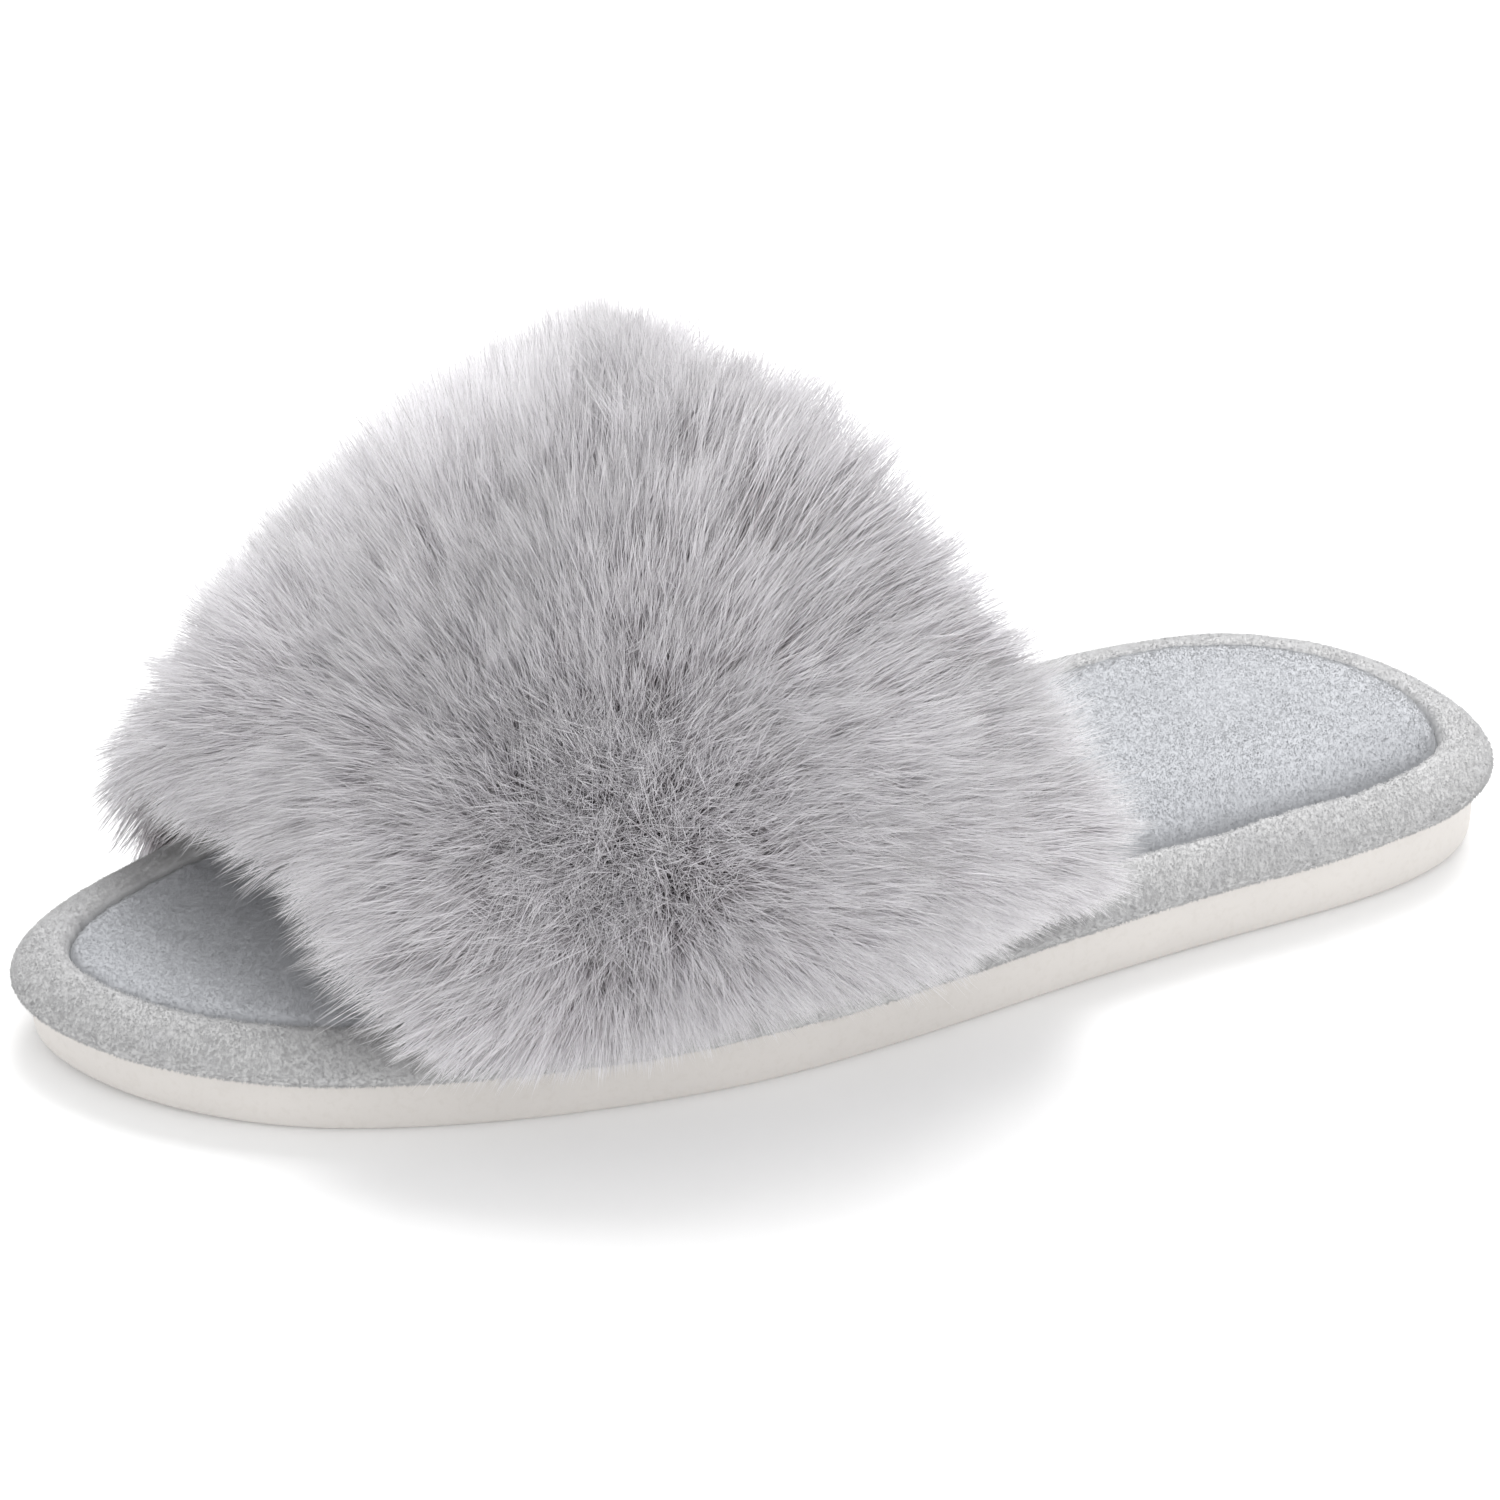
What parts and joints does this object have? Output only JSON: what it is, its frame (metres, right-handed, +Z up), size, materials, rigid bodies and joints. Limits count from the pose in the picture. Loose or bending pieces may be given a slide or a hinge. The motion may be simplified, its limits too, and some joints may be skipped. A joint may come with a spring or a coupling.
{
  "type": "fluffy house slipper",
  "caption": "Open-toe slide slipper for the left foot: arched long-pile faux-fur vamp over a padded plush footbed with a rolled plush rim, on a low wedge outsole.",
  "frame": {"origin": "centre of the overall bounding box, on the flat underside that stands on the floor", "axes": "+Y from toe to heel, +X to the outer (lateral) side of the left foot, +Z up"},
  "size_m": [0.1298, 0.2598, 0.1111],
  "materials": {
    "outsole_foam_rubber": "matte off-white moulded sole",
    "board": "matte fibreboard",
    "foam": "matte open-cell foam",
    "footbed_plush": "short-nap plush, cool grey",
    "rim_plush": "short-nap plush, cool grey",
    "thread": "spun polyester thread",
    "faux_fur": "long-pile faux fur, pale grey tips over taupe roots",
    "lining": "brushed knit"
  },
  "bodies": {
    "root": {"outsole": "outsole_foam_rubber", "insole_board": "board", "midsole_foam": "foam", "footbed_foam": "foam", "footbed_cover": "footbed_plush", "rim_wrap": "rim_plush", "rim_filler": "foam", "rim_seam_thread": "thread", "vamp_faux_fur": "faux_fur", "vamp_foam": "foam", "vamp_lining": "lining", "vamp_front_topstitch": "thread", "vamp_rear_topstitch": "thread"}
  },
  "joints": []
}
